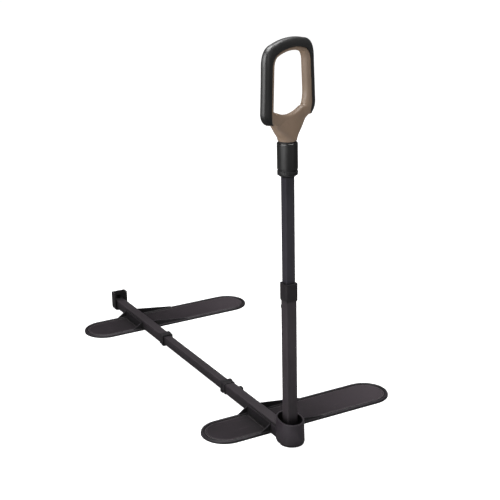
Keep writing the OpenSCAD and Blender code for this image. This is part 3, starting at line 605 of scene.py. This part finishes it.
# Handle shell: the taupe shot of a loop that is moulded in two. It runs round the opening, thin at
# the top and deep over the neck, and flows down into a funnel over the stem. Loop, funnel and the
# wings that fill the lower corners are one satin moulding, so their joints are melted together.
HANDLE_TURN = radians(26)
LOOP_TOP = 57 * MM
LOOP_BOTTOM = 61 * MM
LOOP_HEIGHT = 122.5 * MM
LOOP_SHIFT = 4.5 * MM
ARCH_RADIUS = 140 * MM
TOP_RADIUS = 24 * MM
BOTTOM_RADIUS = 24 * MM
FRAME_IN = 10.5 * MM
FRAME_TOP = 6.5 * MM
FRAME_LOW = 21 * MM
FRAME_LOW_CURVE = 1.4
FRAME_DIP = 8 * MM
FRAME_DEPTH = 15.5 * MM
FRAME_BULGE = 0.62
LEG_FILLET = 22 * MM
LEG_THICKER = 6 * MM
NECK_HEIGHT = 33 * MM
NECK_RADIUS = 16.3 * MM
NECK_GAP = 2.2 * MM
NECK_INSET = 8 * MM
NECK_RISE = (0, 0.1, 0.17, 0.32, 0.5, 0.7, 0.86, 1)
NECK_GROW = (0, 0, 0.06, 0.25, 0.46, 0.69, 0.87, 1)
NECK_ROUND_END = 0.5
GRIP_WRAP = 50  # degrees below the foot of the legs
WING_HALF = 8 * MM
WING_TOP = 22 * MM
WING_INSET = 0.6 * MM
WING_SINK = 2 * MM
MELT_GRID = 0.9 * MM
MELT_SHARE = 0.5
MELT_ROUNDS = 8
STATION_TURN = 2.5  # degrees
SECTION_STEPS = 36
LEG_STEPS = 24
BOTTOM_STEPS = 16
OVAL_STEPS = 72

neck_low, _ = heights("handle_frame")
loop_low = neck_low + NECK_HEIGHT
arch_half = degrees(asin((LOOP_TOP - TOP_RADIUS) / (ARCH_RADIUS - TOP_RADIUS)))
arch_z = loop_low + LOOP_HEIGHT - ARCH_RADIUS
top_x = LOOP_TOP - TOP_RADIUS
top_z = arch_z + (ARCH_RADIUS - TOP_RADIUS) * cos(radians(arch_half))
bottom_x = LOOP_BOTTOM - BOTTOM_RADIUS
bottom_z = loop_low + BOTTOM_RADIUS


def soft_power(c, bulge):
    """A cosine or sine bent so that an oval gets fuller corners; the sign is kept."""
    return (1 if c >= 0 else -1) * abs(c) ** bulge


def on_handle(across, depth, z):
    """A point of the handle's own plane, turned and set over the post."""
    return (
        post_x + across * cos(HANDLE_TURN) - depth * sin(HANDLE_TURN),
        post_y + across * sin(HANDLE_TURN) + depth * cos(HANDLE_TURN),
        z,
    )


def corner(across, z, radius, start, stop):
    """Stations [across, height, angle of the outward normal] round one corner."""
    count = round((stop - start) / STATION_TURN)
    angles = [start + (stop - start) * k / count for k in range(count + 1)]
    return [
        (LOOP_SHIFT + across + radius * cos(radians(a)), z + radius * sin(radians(a)), a)
        for a in angles
    ]


def leg(top, bottom):
    """Stations along a straight leg, with the corner stations at its two ends left out."""
    return [
        (top[0] + (bottom[0] - top[0]) * k / LEG_STEPS,
         top[1] + (bottom[1] - top[1]) * k / LEG_STEPS, top[2])
        for k in range(1, LEG_STEPS)
    ]


def half_section(out, depth, bulge):
    """Half of a rounded section from one flat side round to the other: [outwards, across]."""
    turns = [radians(-90 + 180 * k / SECTION_STEPS) for k in range(SECTION_STEPS + 1)]
    return [
        (out * soft_power(cos(t), bulge), depth / 2 * soft_power(sin(t), bulge)) for t in turns]


def frame_size(station):
    """How thick the frame is at a station: thin at the top and deep over the neck, with a dip
    there and a fillet up the right leg."""
    across, z, angle = station
    up = sin(radians(angle))
    size = 1 + (FRAME_TOP / FRAME_IN - 1) * max(0, up) ** 2
    if angle > 180:
        fillet = min(1, max(0, 1 - (z - bottom_z) / LEG_FILLET))
        size += LEG_THICKER / FRAME_IN * fillet ** 2
        deepest = FRAME_LOW / FRAME_IN - 1 - LEG_THICKER / FRAME_IN
        size += deepest * abs(up) ** FRAME_LOW_CURVE
    if angle == 270:
        size -= FRAME_DIP / FRAME_IN * (1 - ((across - LOOP_SHIFT) / bottom_x) ** 2)
    return size


def frame_ring(station):
    """The frame's section at a station, as thick as it is there."""
    across, z, angle = station
    size = frame_size(station)
    a = radians(angle)
    return [
        on_handle(across + out * size * cos(a), -depth, z + out * size * sin(a))
        for out, depth in half_section(-FRAME_IN, FRAME_DEPTH, FRAME_BULGE)
    ]


def oval(across, wide, deep, z, bulge):
    """A rounded oval ring across the handle."""
    turns = [2 * pi * k / OVAL_STEPS for k in range(OVAL_STEPS)]
    return [
        on_handle(across + wide * soft_power(cos(t), bulge), deep * soft_power(sin(t), bulge), z)
        for t in turns
    ]


def melted(name, *parts):
    """Parts joined into one moulding, with the joints between them smoothed over."""
    shape = bmesh.new()
    for part in parts:
        shape.from_mesh(part.data)
        bpy.data.objects.remove(part)
    mesh = bpy.data.meshes.new(name)
    shape.to_mesh(mesh)
    shape.free()
    piece = bpy.data.objects.new(name, mesh)
    bpy.context.collection.objects.link(piece)
    remesh = piece.modifiers.new("one skin", "REMESH")
    remesh.mode = "VOXEL"
    remesh.voxel_size = MELT_GRID
    remesh.use_smooth_shade = True
    smooth = piece.modifiers.new("melted joints", "SMOOTH")
    smooth.factor = MELT_SHARE
    smooth.iterations = MELT_ROUNDS
    made = piece.evaluated_get(bpy.context.evaluated_depsgraph_get())
    piece.data = bpy.data.meshes.new_from_object(made)
    piece.modifiers.clear()
    return piece


over_top = (
    corner(top_x, top_z, TOP_RADIUS, 0, 90 - arch_half)
    + corner(0, arch_z, ARCH_RADIUS, 90 - arch_half, 90 + arch_half)
    + corner(-top_x, top_z, TOP_RADIUS, 90 + arch_half, 180)
)
left_corner = corner(-bottom_x, bottom_z, BOTTOM_RADIUS, 180, 270)
bottom_run = [
    (LOOP_SHIFT + bottom_x * (2 * k / BOTTOM_STEPS - 1), loop_low, 270)
    for k in range(1, BOTTOM_STEPS)
]
right_corner = corner(bottom_x, bottom_z, BOTTOM_RADIUS, 270, 360)
loop_line = (
    over_top + leg(over_top[-1], left_corner[0]) + left_corner + bottom_run
    + right_corner + leg(right_corner[-1], over_top[0])
)
loop = skin("handle_loop", [frame_ring(s) for s in loop_line], capped=False, joined=True)

# The funnel's rings grow from the round sleeve to an oval as wide as the loop's lower corners
neck_start = neck_low + NECK_GAP
neck_half = LOOP_BOTTOM - NECK_INSET
neck_high = loop_low + BOTTOM_RADIUS * (1 - sin(radians(GRIP_WRAP)))
neck = skin("handle_neck", [
    oval(LOOP_SHIFT * grow,
         NECK_RADIUS + (neck_half - NECK_RADIUS) * grow,
         NECK_RADIUS + (FRAME_DEPTH / 2 - NECK_RADIUS) * grow,
         neck_start + (neck_high - neck_start) * rise,
         1 + (FRAME_BULGE - 1) * min(1, rise / NECK_ROUND_END))
    for rise, grow in zip(NECK_RISE, NECK_GROW)
])

# Two wings fill the outside of the lower corners, between the funnel and the legs
wing_x = LOOP_BOTTOM - WING_INSET - WING_HALF
wings = [
    skin(f"handle_wing_{side}", [
        oval(LOOP_SHIFT + side * wing_x, WING_HALF, FRAME_DEPTH / 2, z, FRAME_BULGE)
        for z in (neck_high - WING_SINK, loop_low + WING_TOP)
    ])
    for side in (-1, 1)
]
handle_shell = melted("handle_shell", loop, neck, *wings)

TAUPE_ROUGH = 0.42
TAUPE = rgb(101, 84, 69)
TAUPE_PALE = rgb(115, 97, 81)
TAUPE_TOUCHED = rgb(97, 80, 66)
SAND_DEPTH = 0.04 * MM
taupe_shell = Finish("taupe shell", Specular_IOR_Level=0.7)
sand = taupe_shell.noise(0.5 * MM, detail=2)
haze = taupe_shell.noise(30 * MM, detail=4)
touch = taupe_shell.noise(8 * MM, detail=5)
taupe = taupe_shell.mix(haze.rise(0.3, 0.7) * 0.6 + sand * 0.3, TAUPE, TAUPE_PALE)
taupe = taupe_shell.mix(touch.rise(0.55, 0.85) * 0.25, taupe, TAUPE_TOUCHED)
taupe_shell.feed("Base Color", taupe)
taupe_shell.feed("Roughness", TAUPE_ROUGH + (haze - 0.5) * 0.14 + touch.rise(0.5, 0.8) * 0.08
                 + (sand - 0.5) * 0.08)
taupe_shell.relief(sand + haze * 0.2, SAND_DEPTH)
fit(handle_shell, "handle", "taupe_plastic", "handle_frame", taupe_shell)


# Soft grip: the black second shot, a soft rubber that wraps the outside of the loop. It swells at
# the two upper corners where the hand pushes, and thins out at its two lower ends, whose seam
# runs straight on down. The seam's edge is rounded, and the skin has fine pimples.
GRIP_OUT = 15 * MM
GRIP_DEPTH = 17.5 * MM
GRIP_BULGE = 0.8
GRIP_SWELL = 0.27
GRIP_END = 0.2
GRIP_STRAIGHT = 0.75
GRIP_CREASE = 60  # degrees
SEAM_ROUND = 1.0 * MM
SEAM_STEPS = 3
SEAM_ANGLE = radians(50)

grip_line = (
    corner(bottom_x, bottom_z, BOTTOM_RADIUS, -GRIP_WRAP, 0) + over_top
    + corner(-bottom_x, bottom_z, BOTTOM_RADIUS, 180, 180 + GRIP_WRAP)
)


def grip_size(above):
    """How thick the grip is, by the angle above the legs: fuller at the top corners, thin at
    its two ends."""
    if above >= 0:
        return 1 + GRIP_SWELL * sin(radians(2 * above)) ** 2
    return GRIP_END + (1 - GRIP_END) * sin(pi / 2 * (above + GRIP_WRAP) / GRIP_WRAP)


def grip_ring(station):
    """The grip's section at a station. At the two ends its seam runs straight on down."""
    across, z, angle = station
    a = radians(angle)
    above = min(angle, 180 - angle)
    size = grip_size(above)
    tuck = GRIP_STRAIGHT * BOTTOM_RADIUS * (1 - abs(cos(a))) if above < 0 else 0
    seam = across + (tuck if across > 0 else -tuck)
    end = across + GRIP_OUT * size * cos(a)
    return [
        on_handle(seam + (end - seam) * out, -depth, z + GRIP_OUT * size * sin(a) * out)
        for out, depth in half_section(1, GRIP_DEPTH, GRIP_BULGE)
    ]


grip = skin("handle_soft_grip", [grip_ring(s) for s in grip_line], crease=GRIP_CREASE)
rounding = grip.modifiers.new("rounded seam", "BEVEL")
rounding.width = SEAM_ROUND
rounding.segments = SEAM_STEPS
rounding.limit_method = "ANGLE"
rounding.angle_limit = SEAM_ANGLE

GRIP_ROUGH = 0.46
GRIP_BLACK = rgb(11, 11, 11)
GRIP_PALE = rgb(17, 16, 16)
GRIP_SHINY = rgb(26, 25, 24)
PALM_DEPTH = 0.03 * MM
soft_grip = Finish("soft grip", Specular_IOR_Level=1.0)
pimple = soft_grip.cells(0.8 * MM)
velvet = soft_grip.noise(0.5 * MM, detail=2)
palm = soft_grip.noise(26 * MM, detail=4)
shine = soft_grip.noise(9 * MM, detail=5)
grip_tone = soft_grip.mix(palm.rise(0.3, 0.7) * 0.6 + velvet * 0.3, GRIP_BLACK, GRIP_PALE)
grip_tone = soft_grip.mix(shine.rise(0.6, 0.85) * 0.3, grip_tone, GRIP_SHINY)
soft_grip.feed("Base Color", grip_tone)
soft_grip.feed("Roughness", GRIP_ROUGH + (palm - 0.5) * 0.16 - shine.rise(0.55, 0.85) * 0.08
               + (velvet - 0.5) * 0.1)
soft_grip.relief(pimple * 0.5 + velvet * 0.5, PALM_DEPTH)
fit(grip, "handle", "grip_rubber", "handle_grip", soft_grip)


# Studio: a wide floor of pale paper inside a round white cyclorama, so that low views end in
# white too. The light is soft: a large key lamp on the left, a weak fill in front on the right,
# a wide lamp overhead and a faint white surround.
FLOOR_HALF = 40.0
WALL_RADIUS = 39.0
WALL_HIGH = 30.0
WALL_STEPS = 96
SURROUND_LIGHT = 0.09


def grey(light):
    """A grey of this much light, from 0 to 1."""
    return (light, light, light, 1)


def glowing_paint(name, grain, tone, tone_in_grain, glow):
    """A dull pale surface that glows a little, so that it comes out white."""
    finish = Finish(
        name, Specular_IOR_Level=0.0, Roughness=1.0, Emission_Color=grey(1), Emission_Strength=glow)
    fibre = finish.noise(grain, detail=3)
    finish.feed("Base Color", finish.mix(fibre * 0.3, grey(tone), grey(tone_in_grain)))
    return finish


floor_mesh = bpy.data.meshes.new("floor")
floor_mesh.from_pydata(
    [(-FLOOR_HALF, -FLOOR_HALF, 0), (FLOOR_HALF, -FLOOR_HALF, 0),
     (FLOOR_HALF, FLOOR_HALF, 0), (-FLOOR_HALF, FLOOR_HALF, 0)], [], [(0, 1, 2, 3)])
floor = bpy.data.objects.new("floor", floor_mesh)
bpy.context.collection.objects.link(floor)
paper = glowing_paint("studio paper", grain=3 * MM, tone=0.45, tone_in_grain=0.43, glow=0.98)
floor_mesh.materials.append(paper.material)
floor.visible_glossy = False

wall_turns = [2 * pi * k / WALL_STEPS for k in range(WALL_STEPS)]
wall = skin("cyclorama", [
    [(WALL_RADIUS * cos(t), WALL_RADIUS * sin(t), z) for t in wall_turns]
    for z in (0.0, WALL_HIGH)
], capped=False)
wall_paint = glowing_paint("wall paint", grain=500 * MM, tone=0.85, tone_in_grain=0.83, glow=1.1)
wall.data.materials.append(wall_paint.material)
wall.visible_diffuse = False
wall.visible_glossy = False
wall.visible_shadow = False

surround = bpy.data.worlds.new("white surround")
surround.use_nodes = True
background = surround.node_tree.nodes["Background"]
background.inputs["Color"].default_value = grey(1)
background.inputs["Strength"].default_value = SURROUND_LIGHT
bpy.context.scene.world = surround


def softbox(name, at, aim, size, watts):
    """A square soft lamp that points at aim."""
    lamp = bpy.data.lights.new(name, "AREA")
    lamp.size = size
    lamp.energy = watts
    box = bpy.data.objects.new(name, lamp)
    box.location = at
    box.rotation_euler = (Vector(aim) - Vector(at)).to_track_quat("-Z", "Y").to_euler()
    bpy.context.collection.objects.link(box)


softbox("key", at=(-2.7, -1.0, 1.6), aim=(0, 0, 0.45), size=3.0, watts=132)
softbox("fill", at=(1.2, -3.2, 1.2), aim=(0, 0, 0.3), size=1.4, watts=8)
softbox("top", at=(0.3, -0.2, 2.6), aim=(0, -0.1, 0), size=1.8, watts=90)


# Camera: where the photograph was taken from, a metre above the floor, in front of the near foot
# and to its left, with a long lens and tipped a little to one side. Its place is measured from
# the near foot's middle line.
CAMERA_X = -1.02225
CAMERA_BEFORE_FOOT = 1.6956
CAMERA_Z = 0.9843
AZIMUTH = radians(-28.69)
ELEVATION = radians(18.38)
ROLL = radians(-1.2)
SENSOR_WIDTH = 36.0
FOCAL_LENGTH = 83.26

_, near_y = middle("near_foot_tray")
back = Vector((sin(AZIMUTH) * cos(ELEVATION), -cos(AZIMUTH) * cos(ELEVATION), sin(ELEVATION)))
right = (-back).cross(Vector((0, 0, 1))).normalized()
up = right.cross(-back)
tipped_right = cos(ROLL) * right + sin(ROLL) * up
tipped_up = cos(ROLL) * up - sin(ROLL) * right
lens = bpy.data.cameras.new("photo camera")
lens.sensor_width = SENSOR_WIDTH
lens.lens = FOCAL_LENGTH
camera = bpy.data.objects.new("photo camera", lens)
facing = Matrix((tipped_right, tipped_up, back)).transposed().to_4x4()
camera.matrix_world = (
    Matrix.Translation((CAMERA_X, near_y - CAMERA_BEFORE_FOOT, CAMERA_Z)) @ facing)
bpy.context.collection.objects.link(camera)
bpy.context.scene.camera = camera
bpy.context.scene.view_settings.view_transform = "Standard"
